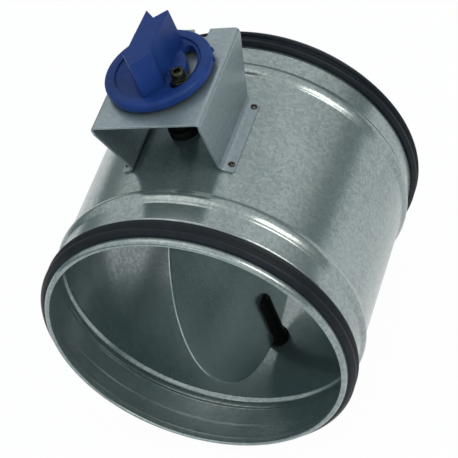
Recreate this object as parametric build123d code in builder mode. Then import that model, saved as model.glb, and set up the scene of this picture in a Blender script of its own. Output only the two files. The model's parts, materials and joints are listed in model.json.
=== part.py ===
"""Volume control damper for a round ventilation duct.

A galvanised tube with two rolled beads and a lip seal at each spigot holds a
round blade on two stub spindles.  A folded shelf bracket on the tube carries a
plastic dial with an arrow grip, which turns the blade through a drive shaft.  A
screw through the dial's arc slot clamps the setting.

Frame: origin at the centre of the front opening, +Y along the duct, +Z along
the blade's spindles towards the knob, +X across.  Millimetres and degrees.
"""
import os
from math import asin, cos, degrees, radians, sin, sqrt

from build123d import *

os.makedirs("parts", exist_ok=True)

# ---------------------------------------------------------------- driving sizes
# Casing tube
tube_length = 189.0
body_radius = 100.0            # outside, between and around the beads
spigot_reduction = 1.2         # the spigots under the seals are this much smaller in radius
wall = 0.8
hem_depth = 5.6                # folded end, along the duct
hem_thickness = 3.8            # folded end, across the duct
hem_round = 1.2
spigot_length = 17.0           # end of the reduced diameter under the seal
spigot_step = 1.5
bead_start = 32.1              # distance of a bead from its end of the tube
bead_width = 10.4
bead_height = 2.3
bead_flank = 2.6
bead_round = 2.0

# Seal rings
seal_start = 4.2
seal_width = 12.1
seal_foot = 1.9
seal_lip_height = 4.4
seal_lip_land = 2.0
seal_groove_gap = 1.2
seal_groove_depth = 2.2

# Blade
blade_gap = 5.2                # blade's edge to the tube's inside
blade_thickness = 1.0
open_offset = -1.9             # set angle of blade and knob about +Z, from the duct's axis
turn_to_open = 12.0            # travel left from the set angle to the open stop
turn_to_close = 78.0           # travel left from the set angle to the closed stop

# Spindles and their bearings
spindle_radius = 5.0           # where it turns in its bush
grip_radius = 6.0              # where it holds the blade
spindle_grip = 36.0            # length of blade inside a spindle's slot
spindle_tip_round = 1.2
collar_radius = 6.9
collar_height = 2.2
slot_floor_gap = 0.3           # blade edge to the floor of the spindle's slot
pin_radius = 1.5
pin_recess = 0.35
pin_insets = (10.0, 23.0)      # from the blade's edge
bush_flange_radius = 10.2
upper_bush_height = 5.6
lower_bush_height = 4.4
bush_stem_radius = 6.6
bush_nut_radius = 7.9
bush_nut_height = 3.0
thrust_washer_radius = 6.9
thrust_washer_thickness = 0.8
o_ring_section = 1.0
o_ring_clearance = 0.3         # O-ring to the turning spindle
plug_head_radius = 7.0
plug_head_height = 1.6
plug_depth = 1.6

# Drive shaft and coupling
shaft_radius = 4.0
shaft_flat = 1.0               # depth of the flat that drives the knob
coupling_radius = 7.6
coupling_height = 18.0
spindle_in_coupling = 8.0      # length of the upper spindle inside the coupling
coupling_pin_radius = 1.25
clip_radius = 6.8
clip_thickness = 1.0
clip_groove = 0.6
clip_gap = 5.6

# Shelf bracket
shelf_stand_off = 45.5         # top face of the shelf above the tube's crest
sheet = 1.5
bend_radius = 3.0              # on the sheet's middle line, beside the shelf
foot_bend_radius = 5.0         # the same above the foot flanges
shelf_width = 73.0
shelf_offset = 2.5             # middle of the shelf from the spindle axis, across the duct
shelf_front = 50.4             # front edge of the shelf
shelf_back = 136.4             # back edge of the shelf
foot_spread = 57.0             # between the bends above the two foot flanges
foot_front = 62.8
foot_back = 125.0
flange_width = 9.2
flange_lip = 3.0               # from the line of rivets, where a flange lies on the tube, to its free edge
leg_shoulder = 5.0             # depth of the leg's full-width part below the shelf's face
notch_start = 9.0              # notch in the shelf's back edge, across the duct
notch_width = 10.5
notch_depth = 7.6
notch_round = 1.5
rivet_inset = 5.8
rivet_radius = 1.6
rivet_head_radius = 2.2
rivet_head_height = 0.9
rivet_tail_radius = 2.1
rivet_tail_height = 0.9
shelf_bush_radius = 6.0
shelf_bush_flange_radius = 8.0
shelf_bush_flange_height = 2.6

# Knob
friction_washer_radius = 13.0
friction_washer_thickness = 2.2
dial_radius = 34.5
dial_thickness = 5.8
rim_round = 2.4
floor_radius = 27.5            # recessed floor inside the rim
floor_depth = 1.4
grip_height = 25.8             # above the recessed floor
grip_point = 26.4              # from the shaft's axis to the arrow's point, at the floor
grip_shoulder_half = 10.3
grip_shoulder_back = 14.4      # from the shaft's axis forwards to the shoulders
grip_waist_half = 8.0
grip_waist_back = 11.6
grip_tail = 25.0
grip_tail_notch = 7.2
grip_draft = 1.4
grip_edge_round = 0.5
shaft_in_knob = 20.0
nib_height = 1.2
nib_angles = (31.0, 15.5)

# Locking screw (M5) and the dial's arc slot
lock_radius = 21.8             # from the knob's axis
lock_angle = -31.0             # about +Z, from +X
lock_slot_width = 7.0
lock_shank_radius = 2.5
lock_head_radius = 4.25
lock_head_height = 5.0
lock_socket_flats = 4.2
lock_socket_depth = 2.8
lock_lift = 1.6                # travel of the screw when it is slackened, and its shank below the nut
lock_washer_radius = 5.4
lock_washer_thickness = 1.2
lock_spring_radius = 4.4
lock_spring_thickness = 1.2
lock_spring_gap = 0.9
lock_nut_radius = 5.0
lock_nut_height = 5.0
lock_nut_collar_radius = 3.9

# Fits
running_clearance = 0.06       # radial, round pieces that turn in each other
fixed_clearance = 0.05         # radial or axial, pieces that don't move on each other
hole_clearance = 0.1           # radial, holes in sheet around bushes and rivets
axial_clearance = 0.05         # each face of a washer
end_gap = 0.3                  # between a turning end and the piece in line with it

# ---------------------------------------------------------------- derived sizes
mid_length = tube_length / 2
spigot_radius = body_radius - spigot_reduction
blade_radius = body_radius - wall - blade_gap
spindle_inner_end = blade_radius - spindle_grip
pin_distances = [blade_radius - inset for inset in pin_insets]
shelf_height = body_radius + shelf_stand_off
bead_radius = body_radius + bead_height
collar_outer = sqrt((body_radius - wall) ** 2 - bush_nut_radius ** 2) - fixed_clearance
nut_inner = collar_outer - bush_nut_height
thrust_outer = nut_inner - axial_clearance
thrust_inner = thrust_outer - thrust_washer_thickness
collar_top = thrust_inner - axial_clearance
collar_bottom = collar_top - collar_height
bush_seat = body_radius + fixed_clearance
upper_bush_top = bush_seat + upper_bush_height
lower_bush_end = bush_seat + lower_bush_height
bore_radius = spindle_radius + running_clearance
coupling_bottom = upper_bush_top + end_gap
coupling_top = coupling_bottom + coupling_height
upper_spindle_end = coupling_bottom + spindle_in_coupling
lower_spindle_end = lower_bush_end - plug_depth - end_gap
shelf_underside = shelf_height - sheet
dial_bottom = shelf_height + friction_washer_thickness + 2 * axial_clearance
dial_top = dial_bottom + dial_thickness
dial_floor = dial_top - floor_depth
shaft_top = dial_bottom + shaft_in_knob
clip_top = shelf_underside - shelf_bush_flange_height - axial_clearance
lock_x = lock_radius * cos(radians(lock_angle))
lock_y = mid_length + lock_radius * sin(radians(lock_angle))
washer_top = dial_floor + lock_washer_thickness
spring_top = washer_top + lock_spring_thickness
lock_nut_bottom = shelf_underside - lock_nut_height
lock_tip = lock_nut_bottom - lock_lift

# ---------------------------------------------------------------- planes and axes
fixed_plane = Plane(origin=(0, mid_length, 0))
rotor_x = Vector(1, 0, 0).rotate(Axis.Z, open_offset)
rotor_y = Vector(0, 1, 0).rotate(Axis.Z, open_offset)
rotor_plane = Plane(origin=(0, mid_length, 0), x_dir=rotor_x, z_dir=(0, 0, 1))
blade_plane = Plane(origin=(0, mid_length, 0), x_dir=rotor_y, z_dir=rotor_x)
cross_plane = Plane(origin=(0, mid_length, 0), x_dir=rotor_x, z_dir=-rotor_y)
shaft_section = Plane(origin=(0, mid_length, 0), x_dir=(1, 0, 0), z_dir=(0, -1, 0))
lock_plane = Plane(origin=(lock_x, lock_y, 0))
side_plane = Plane.YZ
front_plane = Plane(origin=(0, 0, 0), x_dir=(1, 0, 0), z_dir=(0, -1, 0))
shaft_axis = Axis((0, mid_length, 0), (0, 0, 1))


def save(builder, name):
    """Label a finished piece and write it to its own STEP file."""
    builder.part.label = name
    export_step(builder.part, f"parts/{name}.step")


def mirrored_ends(front):
    """A wall line of (radius, distance) points, continued to the far end of the tube."""
    return front + [(radius, tube_length - along) for radius, along in reversed(front)]


# ---------------------------------------------------------------- bracket feet on the tube
def foot_points(side):
    """Middle line of one foot flange in the cross section: bend first, then the free edge."""
    flange_radius = body_radius + sheet / 2
    flange_run = flange_width - flange_lip
    bend_x = shelf_offset + side * foot_spread / 2
    lean = asin((bend_x + side * flange_run) / flange_radius)
    touch = Vector(flange_radius * sin(lean), flange_radius * cos(lean))
    outwards = Vector(side * cos(lean), -side * sin(lean))
    return touch - outwards * flange_run, touch + outwards * flange_lip, degrees(lean)


left_bend, left_edge, left_lean = foot_points(-1)
right_bend, right_edge, right_lean = foot_points(1)
rivet_places = [
    (foot_front + rivet_inset, left_lean), (foot_back - rivet_inset, left_lean),
    (foot_front + rivet_inset, right_lean), (foot_back - rivet_inset, right_lean),
]
rivet_planes = [
    Plane(origin=(0, along, 0), x_dir=(cos(radians(lean)), 0, -sin(radians(lean))),
          z_dir=(sin(radians(lean)), 0, cos(radians(lean))))
    for along, lean in rivet_places
]


# ---------------------------------------------------------------- casing tube
bead_end = bead_start + bead_width
wall_line = mirrored_ends([
    (spigot_radius - wall / 2, hem_round),
    (spigot_radius - wall / 2, spigot_length),
    (body_radius - wall / 2, spigot_length + spigot_step),
    (body_radius - wall / 2, bead_start),
    (bead_radius - wall / 2, bead_start + bead_flank),
    (bead_radius - wall / 2, bead_end - bead_flank),
    (body_radius - wall / 2, bead_end),
])
hem_middle = spigot_radius - hem_thickness / 2

with BuildPart() as casing_tube:
    with BuildSketch(Plane.XY):
        with BuildLine():
            FilletPolyline(*wall_line, radius=bead_round / 2)
        trace(line_width=wall)
        with Locations((hem_middle, hem_depth / 2), (hem_middle, tube_length - hem_depth / 2)):
            RectangleRounded(hem_thickness, hem_depth, hem_round)
    revolve(axis=Axis.Y)
    with BuildSketch(fixed_plane):
        Circle(bush_stem_radius + hole_clearance)
    extrude(amount=body_radius, both=True, mode=Mode.SUBTRACT)
    for rivet_plane in rivet_planes:
        with BuildSketch(rivet_plane.offset(body_radius - 2 * wall)):
            Circle(rivet_radius + fixed_clearance)
        extrude(amount=3 * wall, mode=Mode.SUBTRACT)
save(casing_tube, "casing_tube")


# ---------------------------------------------------------------- seal rings
lip_radius = spigot_radius + seal_lip_height
foot_radius = spigot_radius + seal_foot
groove_radius = lip_radius - seal_groove_depth
seal_lip = (seal_width - seal_groove_gap) / 2     # foot, flank and land of one lip
seal_flank = (seal_lip - seal_lip_land) / 2
lip_line = [
    (spigot_radius, seal_start),
    (foot_radius, seal_start),
    (lip_radius, seal_start + seal_flank),
    (lip_radius, seal_start + seal_flank + seal_lip_land),
    (groove_radius, seal_start + seal_lip),
    (groove_radius, seal_start + seal_lip + seal_groove_gap),
    (lip_radius, seal_start + seal_lip + seal_groove_gap + seal_flank),
    (lip_radius, seal_start + seal_width - seal_flank),
    (foot_radius, seal_start + seal_width),
    (spigot_radius, seal_start + seal_width),
]

with BuildPart() as front_seal_ring:
    with BuildSketch(Plane.XY):
        with BuildLine():
            Polyline(*lip_line, close=True)
        make_face()
    revolve(axis=Axis.Y)
save(front_seal_ring, "front_seal_ring")

with BuildPart() as rear_seal_ring:
    with BuildSketch(Plane.XY):
        with BuildLine():
            Polyline(*[(radius, tube_length - along) for radius, along in lip_line], close=True)
        make_face()
    revolve(axis=Axis.Y)
save(rear_seal_ring, "rear_seal_ring")

# ---------------------------------------------------------------- blade
with BuildPart() as blade_disc:
    with BuildSketch(blade_plane):
        Circle(blade_radius)
        with Locations(*[(0, side * far) for side in (1, -1) for far in pin_distances]):
            Circle(pin_radius + fixed_clearance, mode=Mode.SUBTRACT)
    extrude(amount=blade_thickness / 2, both=True)
save(blade_disc, "blade_disc")

with BuildPart() as blade_pins:
    with BuildSketch(blade_plane):
        with Locations(*[(0, side * far) for side in (1, -1) for far in pin_distances]):
            Circle(pin_radius)
    extrude(amount=grip_radius - pin_recess, both=True)
save(blade_pins, "blade_pins")


# ---------------------------------------------------------------- spindles
def spindle_line(outer_end):
    """Outline of a spindle as (radius, distance from the duct's axis)."""
    return [
        (0, spindle_inner_end),
        (grip_radius - spindle_tip_round, spindle_inner_end),
        (grip_radius, spindle_inner_end + spindle_tip_round),
        (grip_radius, collar_bottom),
        (collar_radius, collar_bottom),
        (collar_radius, collar_top),
        (spindle_radius, collar_top),
        (spindle_radius, outer_end),
        (0, outer_end),
    ]


slot_floor = blade_radius + slot_floor_gap
slot_thickness = blade_thickness + 2 * fixed_clearance

with BuildPart() as upper_spindle:
    with BuildSketch(shaft_section):
        with BuildLine():
            Polyline(*spindle_line(upper_spindle_end), close=True)
        make_face()
    revolve(axis=shaft_axis)
    with BuildSketch(blade_plane):
        Rectangle(3 * collar_radius, slot_floor, align=(Align.CENTER, Align.MIN))
    extrude(amount=slot_thickness / 2, both=True, mode=Mode.SUBTRACT)
    with BuildSketch(blade_plane):
        with Locations(*[(0, far) for far in pin_distances]):
            Circle(pin_radius + fixed_clearance)
    extrude(amount=collar_radius, both=True, mode=Mode.SUBTRACT)
    with BuildSketch(cross_plane):
        with Locations((0, coupling_bottom + spindle_in_coupling / 2)):
            Circle(coupling_pin_radius + fixed_clearance)
    extrude(amount=collar_radius, both=True, mode=Mode.SUBTRACT)
save(upper_spindle, "upper_spindle")

with BuildPart() as lower_spindle:
    with BuildSketch(shaft_section):
        with BuildLine():
            Polyline(*[(radius, -far) for radius, far in spindle_line(lower_spindle_end)], close=True)
        make_face()
    revolve(axis=shaft_axis)
    with BuildSketch(blade_plane):
        Rectangle(3 * collar_radius, slot_floor, align=(Align.CENTER, Align.MAX))
    extrude(amount=slot_thickness / 2, both=True, mode=Mode.SUBTRACT)
    with BuildSketch(blade_plane):
        with Locations(*[(0, -far) for far in pin_distances]):
            Circle(pin_radius + fixed_clearance)
    extrude(amount=collar_radius, both=True, mode=Mode.SUBTRACT)
save(lower_spindle, "lower_spindle")


# ---------------------------------------------------------------- bearings in the tube wall
def bush_line(flange_top):
    """Outline of a bearing bush as (radius, distance), with its O-ring groove."""
    groove_half = o_ring_section / 2 + fixed_clearance
    groove_middle = bush_seat + groove_half
    groove_floor = spindle_radius + o_ring_clearance + o_ring_section + fixed_clearance
    return [
        (bore_radius, nut_inner),
        (bush_stem_radius, nut_inner),
        (bush_stem_radius, bush_seat),
        (bush_flange_radius, bush_seat),
        (bush_flange_radius, flange_top),
        (bore_radius, flange_top),
        (bore_radius, groove_middle + groove_half),
        (groove_floor, groove_middle + groove_half),
        (groove_floor, groove_middle - groove_half),
        (bore_radius, groove_middle - groove_half),
    ]


def washer_line(inner, outer, bottom, top):
    """Outline of a plain ring as (radius, height)."""
    return [(inner, bottom), (outer, bottom), (outer, top), (inner, top)]


bearings = {
    "upper": (1, upper_bush_top),
    "lower": (-1, lower_bush_end),
}
for place, (side, flange_top) in bearings.items():
    with BuildPart() as bush:
        with BuildSketch(shaft_section):
            with BuildLine():
                Polyline(*[(radius, side * far) for radius, far in bush_line(flange_top)], close=True)
            make_face()
        revolve(axis=shaft_axis)
    save(bush, f"{place}_bush")

    with BuildPart() as bush_nut:
        with BuildSketch(shaft_section):
            with BuildLine():
                Polyline(
                    *[(radius, side * far) for radius, far in washer_line(
                        bush_stem_radius + fixed_clearance, bush_nut_radius, nut_inner, collar_outer)],
                    close=True,
                )
            make_face()
        revolve(axis=shaft_axis)
    save(bush_nut, f"{place}_bush_nut")

    with BuildPart() as o_ring:
        with BuildSketch(shaft_section):
            with Locations((
                spindle_radius + o_ring_clearance + o_ring_section / 2,
                side * (bush_seat + o_ring_section / 2 + fixed_clearance),
            )):
                Circle(o_ring_section / 2)
        revolve(axis=shaft_axis)
    save(o_ring, f"{place}_o_ring")

    with BuildPart() as thrust_washer:
        with BuildSketch(shaft_section):
            with BuildLine():
                Polyline(
                    *[(radius, side * far) for radius, far in washer_line(
                        spindle_radius + fixed_clearance, thrust_washer_radius, thrust_inner, thrust_outer)],
                    close=True,
                )
            make_face()
        revolve(axis=shaft_axis)
    save(thrust_washer, f"{place}_thrust_washer")

with BuildPart() as lower_end_plug:
    with BuildSketch(fixed_plane.offset(-lower_bush_end)):
        Circle(bore_radius - fixed_clearance)
    extrude(amount=plug_depth)
    with BuildSketch(fixed_plane.offset(-lower_bush_end)):
        Circle(plug_head_radius)
    extrude(amount=-plug_head_height)
save(lower_end_plug, "lower_end_plug")

# ---------------------------------------------------------------- coupling and drive shaft
shaft_bottom = upper_spindle_end + end_gap
shaft_hole_radius = shaft_radius + fixed_clearance
pin_heights = (coupling_bottom + spindle_in_coupling / 2, coupling_top - spindle_in_coupling / 2)

with BuildPart() as shaft_coupling:
    with BuildSketch(rotor_plane.offset(coupling_bottom)):
        Circle(coupling_radius)
        Circle(spindle_radius + fixed_clearance, mode=Mode.SUBTRACT)
    extrude(amount=spindle_in_coupling)
    with BuildSketch(rotor_plane.offset(upper_spindle_end)):
        Circle(coupling_radius)
        Circle(shaft_hole_radius, mode=Mode.SUBTRACT)
    extrude(amount=coupling_top - upper_spindle_end)
    with BuildSketch(cross_plane):
        with Locations(*[(0, height) for height in pin_heights]):
            Circle(coupling_pin_radius + fixed_clearance)
    extrude(amount=coupling_radius, both=True, mode=Mode.SUBTRACT)
save(shaft_coupling, "shaft_coupling")

with BuildPart() as coupling_pins:
    with BuildSketch(cross_plane):
        with Locations(*[(0, height) for height in pin_heights]):
            Circle(coupling_pin_radius)
    extrude(amount=coupling_radius - pin_recess, both=True)
save(coupling_pins, "coupling_pins")

with BuildPart() as drive_shaft:
    with BuildSketch(rotor_plane.offset(shaft_bottom)):
        Circle(shaft_radius)
    extrude(amount=shaft_top - shaft_bottom)
    with BuildSketch(rotor_plane.offset(dial_bottom)):
        with Locations((shaft_radius - shaft_flat, 0)):
            Rectangle(shaft_radius, 2 * shaft_radius, align=(Align.MIN, Align.CENTER))
    extrude(amount=shaft_in_knob, mode=Mode.SUBTRACT)
    with BuildSketch(rotor_plane.offset(clip_top)):
        Circle(shaft_radius)
        Circle(shaft_radius - clip_groove, mode=Mode.SUBTRACT)
    extrude(amount=-clip_thickness, mode=Mode.SUBTRACT)
    with BuildSketch(cross_plane):
        with Locations((0, pin_heights[1])):
            Circle(coupling_pin_radius + fixed_clearance)
    extrude(amount=shaft_radius, both=True, mode=Mode.SUBTRACT)
save(drive_shaft, "drive_shaft")

with BuildPart() as retaining_clip:
    with BuildSketch(rotor_plane.offset(clip_top)):
        Circle(clip_radius)
        Circle(shaft_radius - clip_groove + fixed_clearance, mode=Mode.SUBTRACT)
        Rectangle(clip_radius, clip_gap, align=(Align.MIN, Align.CENTER), mode=Mode.SUBTRACT)
    extrude(amount=-(clip_thickness - fixed_clearance))
save(retaining_clip, "retaining_clip")


# ---------------------------------------------------------------- shelf bracket
corner_half = (shelf_width - sheet) / 2
shelf_middle = shelf_height - sheet / 2
left_corner = Vector(shelf_offset - corner_half, shelf_middle)
right_corner = Vector(shelf_offset + corner_half, shelf_middle)
left_leg_middle = (left_corner + left_bend) / 2
right_leg_middle = (right_corner + right_bend) / 2
bracket_lines = [
    (foot_bend_radius, [left_edge, left_bend, left_leg_middle]),
    (bend_radius, [left_leg_middle, left_corner, right_corner, right_leg_middle]),
    (foot_bend_radius, [right_leg_middle, right_bend, right_edge]),
]
leg_outline = [
    (shelf_front, shelf_height),
    (shelf_back, shelf_height),
    (shelf_back, shelf_height - leg_shoulder),
    (foot_back, left_bend.Y),
    (foot_back, 0),
    (foot_front, 0),
    (foot_front, left_bend.Y),
    (shelf_front, shelf_height - leg_shoulder),
]

with BuildPart() as shelf_bracket:
    with BuildSketch(front_plane):
        with BuildLine():
            for radius, corners in bracket_lines:
                FilletPolyline(*corners, radius=radius)
        trace(line_width=sheet)
    extrude(amount=-tube_length)
    with BuildSketch(side_plane):
        with BuildLine():
            Polyline(*leg_outline, close=True)
        make_face()
    extrude(amount=body_radius, both=True, mode=Mode.INTERSECT)
    with BuildSketch(Plane.XY.offset(shelf_underside)):
        with Locations((0, mid_length)):
            Circle(shelf_bush_radius + hole_clearance)
        with Locations((lock_x, lock_y)):
            Circle(lock_nut_collar_radius + hole_clearance)
        with Locations((notch_start + notch_width / 2, shelf_back)):
            RectangleRounded(notch_width, 2 * notch_depth, notch_round)
    extrude(amount=sheet, mode=Mode.SUBTRACT)
    for rivet_plane in rivet_planes:
        with BuildSketch(rivet_plane.offset(body_radius - sheet)):
            Circle(rivet_radius + fixed_clearance)
        extrude(amount=3 * sheet, mode=Mode.SUBTRACT)
save(shelf_bracket, "shelf_bracket")

with BuildPart() as bracket_rivets:
    for rivet_plane in rivet_planes:
        inside = body_radius - wall - rivet_tail_height
        with BuildSketch(rivet_plane.offset(inside)):
            Circle(rivet_radius)
        extrude(amount=body_radius + sheet + rivet_head_height - inside)
        with BuildSketch(rivet_plane.offset(body_radius + sheet)):
            Circle(rivet_head_radius)
        extrude(amount=rivet_head_height)
        with BuildSketch(rivet_plane.offset(inside)):
            Circle(rivet_tail_radius)
        extrude(amount=rivet_tail_height - fixed_clearance)
save(bracket_rivets, "bracket_rivets")

with BuildPart() as shelf_bush:
    with BuildSketch(fixed_plane.offset(shelf_underside)):
        Circle(shelf_bush_flange_radius)
    extrude(amount=-shelf_bush_flange_height)
    with BuildSketch(fixed_plane.offset(shelf_underside)):
        Circle(shelf_bush_radius)
    extrude(amount=sheet)
    with BuildSketch(fixed_plane.offset(shelf_height)):
        Circle(shaft_radius + running_clearance)
    extrude(amount=-(sheet + shelf_bush_flange_height), mode=Mode.SUBTRACT)
save(shelf_bush, "shelf_bush")

# ---------------------------------------------------------------- knob
with BuildPart() as friction_washer:
    with BuildSketch(fixed_plane.offset(shelf_height + axial_clearance)):
        Circle(friction_washer_radius)
        Circle(shaft_radius + fixed_clearance, mode=Mode.SUBTRACT)
    extrude(amount=friction_washer_thickness)
save(friction_washer, "friction_washer")

grip_outline = [
    (0, -grip_point),
    (grip_shoulder_half, -grip_shoulder_back),
    (grip_waist_half, -grip_waist_back),
    (grip_waist_half, grip_tail),
    (0, grip_tail - grip_tail_notch),
    (-grip_waist_half, grip_tail),
    (-grip_waist_half, -grip_waist_back),
    (-grip_shoulder_half, -grip_shoulder_back),
]
slot_first = lock_angle - turn_to_open - open_offset
slot_last = lock_angle + turn_to_close - open_offset

with BuildPart() as knob_dial:
    with BuildSketch(rotor_plane.offset(dial_bottom)):
        Circle(dial_radius)
    extrude(amount=dial_thickness)
    fillet(knob_dial.faces().sort_by(Axis.Z)[-1].edges(), rim_round)
    with BuildSketch(rotor_plane.offset(dial_top)):
        Circle(floor_radius)
    extrude(amount=-floor_depth, mode=Mode.SUBTRACT)
    with BuildSketch(rotor_plane.offset(dial_floor)):
        with BuildLine():
            Polyline(*grip_outline, close=True)
        make_face()
    extrude(amount=grip_height, taper=grip_draft)
    fillet(knob_dial.faces().sort_by(Axis.Z)[-1].edges(), grip_edge_round)
    with BuildSketch(rotor_plane.offset(dial_bottom)):
        with BuildLine():
            CenterArc((0, 0), lock_radius, slot_first, slot_last - slot_first)
        trace(line_width=lock_slot_width)
        for slot_end in (slot_first, slot_last):
            with PolarLocations(lock_radius, 1, start_angle=slot_end):
                Circle(lock_slot_width / 2)
    extrude(amount=dial_thickness, mode=Mode.SUBTRACT)
    for nib_angle in nib_angles:
        with BuildSketch(rotor_plane.offset(dial_bottom)):
            with PolarLocations(dial_radius, 1, start_angle=nib_angle - open_offset):
                RegularPolygon(nib_height, 3)
        extrude(amount=dial_thickness - rim_round)
    with BuildSketch(rotor_plane.offset(dial_bottom)):
        Circle(shaft_radius + fixed_clearance)
        with Locations((shaft_radius - shaft_flat + fixed_clearance, 0)):
            Rectangle(shaft_radius, 3 * shaft_radius, align=(Align.MIN, Align.CENTER), mode=Mode.SUBTRACT)
    extrude(amount=shaft_in_knob + fixed_clearance, mode=Mode.SUBTRACT)
save(knob_dial, "knob_dial")

# ---------------------------------------------------------------- locking screw
with BuildPart() as lock_nut:
    with BuildSketch(lock_plane.offset(lock_nut_bottom)):
        Circle(lock_nut_radius)
    extrude(amount=lock_nut_height)
    with BuildSketch(lock_plane.offset(shelf_underside)):
        Circle(lock_nut_collar_radius)
    extrude(amount=sheet)
    with BuildSketch(lock_plane.offset(lock_nut_bottom)):
        Circle(lock_shank_radius + running_clearance)
    extrude(amount=lock_nut_height + sheet, mode=Mode.SUBTRACT)
save(lock_nut, "lock_nut")

with BuildPart() as lock_washer:
    with BuildSketch(lock_plane.offset(dial_floor)):
        Circle(lock_washer_radius)
        Circle(lock_shank_radius + running_clearance, mode=Mode.SUBTRACT)
    extrude(amount=lock_washer_thickness)
save(lock_washer, "lock_washer")

with BuildPart() as lock_spring_washer:
    with BuildSketch(lock_plane.offset(washer_top)):
        Circle(lock_spring_radius)
        Circle(lock_shank_radius + running_clearance, mode=Mode.SUBTRACT)
        Rectangle(lock_spring_radius, lock_spring_gap, align=(Align.MIN, Align.CENTER), mode=Mode.SUBTRACT)
    extrude(amount=lock_spring_thickness)
save(lock_spring_washer, "lock_spring_washer")

with BuildPart() as lock_screw:
    with BuildSketch(lock_plane.offset(lock_tip)):
        Circle(lock_shank_radius)
    extrude(amount=spring_top - lock_tip)
    with BuildSketch(lock_plane.offset(spring_top)):
        Circle(lock_head_radius)
    extrude(amount=lock_head_height)
    with BuildSketch(lock_plane.offset(spring_top + lock_head_height)):
        RegularPolygon(lock_socket_flats / 2, 6, major_radius=False)
    extrude(amount=-lock_socket_depth, mode=Mode.SUBTRACT)
save(lock_screw, "lock_screw")
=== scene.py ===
"""Finish and studio for a round duct damper with a standing shelf and an arrow-grip knob.

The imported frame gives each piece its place, in metres: the duct runs along Y
from its front opening at the origin, and the spindles stand along Z.  The sheet
parts, the seals, the blade with its spindles and bushes, the knob and the
fasteners that show are modelled here with their folds, rolled edges and rounded
corners.  The small pieces inside keep their frame shape and get a finish.
"""
import json
import math

import bmesh
import bpy
from mathutils import Matrix, Vector


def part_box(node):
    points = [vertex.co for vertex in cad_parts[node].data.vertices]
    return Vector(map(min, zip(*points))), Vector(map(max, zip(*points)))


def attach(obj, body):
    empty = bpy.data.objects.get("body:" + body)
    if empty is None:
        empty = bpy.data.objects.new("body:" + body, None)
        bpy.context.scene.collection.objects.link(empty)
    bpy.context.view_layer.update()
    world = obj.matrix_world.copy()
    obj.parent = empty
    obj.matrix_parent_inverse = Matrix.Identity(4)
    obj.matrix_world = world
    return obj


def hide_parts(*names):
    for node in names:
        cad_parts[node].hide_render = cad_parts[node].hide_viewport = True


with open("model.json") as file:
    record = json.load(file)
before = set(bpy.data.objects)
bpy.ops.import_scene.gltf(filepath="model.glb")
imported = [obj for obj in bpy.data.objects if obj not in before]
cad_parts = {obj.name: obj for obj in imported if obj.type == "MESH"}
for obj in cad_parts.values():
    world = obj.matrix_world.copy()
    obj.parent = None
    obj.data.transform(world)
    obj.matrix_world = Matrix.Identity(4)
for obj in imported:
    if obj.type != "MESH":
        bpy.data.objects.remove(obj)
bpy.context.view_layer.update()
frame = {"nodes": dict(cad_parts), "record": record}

mm = 0.001

# ---------------------------------------------------------------- places read from the frame
tube_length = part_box("casing_tube")[1].y
shaft_y = (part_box("drive_shaft")[0].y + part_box("drive_shaft")[1].y) / 2
shaft_place = Vector((0, shaft_y, 0))
shelf_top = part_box("shelf_bracket")[1].z
dial_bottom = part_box("knob_dial")[0].z
knob_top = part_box("knob_dial")[1].z
floor_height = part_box("lower_end_plug")[0].z
lock_washer_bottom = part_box("lock_washer")[0].z
lock_washer_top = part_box("lock_washer")[1].z
spring_washer_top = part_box("lock_spring_washer")[1].z
screw_bottom, screw_top = (corner.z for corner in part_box("lock_screw"))
lock_place = (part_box("lock_screw")[0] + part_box("lock_screw")[1]) / 2
lock_place.z = 0
set_angle = math.radians(-1.9)             # blade and knob stand this far off the duct's axis
set_turn = (
    Matrix.Translation(shaft_place) @ Matrix.Rotation(set_angle, 4, "Z") @ Matrix.Translation(-shaft_place)
)

# ---------------------------------------------------------------- sheet, seal and blade sizes
wall = 0.8 * mm
body_radius = 100.0 * mm
spigot_radius = 98.8 * mm
bead_radius = 102.3 * mm
hem_radius = 95.0 * mm                     # inside the folded end
hem_depth = 5.6 * mm
spigot_end = 17.0 * mm
step_end = 18.5 * mm
bead_start = 32.1 * mm
bead_end = 42.5 * mm
bead_flank = 2.6 * mm
seal_start = 4.2 * mm
seal_end = 16.3 * mm
lip_radius = 103.2 * mm
blade_radius = 94.0 * mm
blade_thickness = 1.0 * mm
tube_steps = 240
bearing_hole_radius = 6.7 * mm

# ---------------------------------------------------------------- modelling by hand, in small steps
same_spot = 0.01 * mm                      # two points this near count as one
double_reach = 0.004 * mm                  # doubles nearer than this are merged


def leave_edit():
    """Close edit mode on the piece at hand."""
    bpy.ops.object.mode_set(mode="OBJECT")


def start_point(name, place):
    """A piece of one vertex, open in edit mode, to be drawn out into an outline."""
    bpy.ops.object.select_all(action="DESELECT")
    bpy.ops.mesh.primitive_plane_add(size=mm, location=(0, 0, 0))
    piece = bpy.context.object
    piece.name = name
    bpy.ops.object.mode_set(mode="EDIT")
    bpy.ops.mesh.select_mode(type="VERT")
    bpy.ops.mesh.merge(type="CENTER")
    bpy.ops.transform.translate(value=place)
    return piece


def pick_vertices(test):
    """Select just the vertices whose place passes the test."""
    bpy.ops.mesh.select_mode(type="VERT")
    bpy.ops.mesh.select_all(action="DESELECT")
    mesh = bmesh.from_edit_mesh(bpy.context.object.data)
    for vertex in mesh.verts:
        vertex.select = test(vertex.co)
    mesh.select_flush_mode()
    bmesh.update_edit_mesh(bpy.context.object.data)


def pick_faces(test):
    """Select just the faces whose middle and normal pass the test."""
    bpy.ops.mesh.select_mode(type="FACE")
    bpy.ops.mesh.select_all(action="DESELECT")
    mesh = bmesh.from_edit_mesh(bpy.context.object.data)
    mesh.normal_update()
    for face in mesh.faces:
        face.select = test(face.calc_center_median(), face.normal)
    mesh.select_flush_mode()
    bmesh.update_edit_mesh(bpy.context.object.data)


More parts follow.
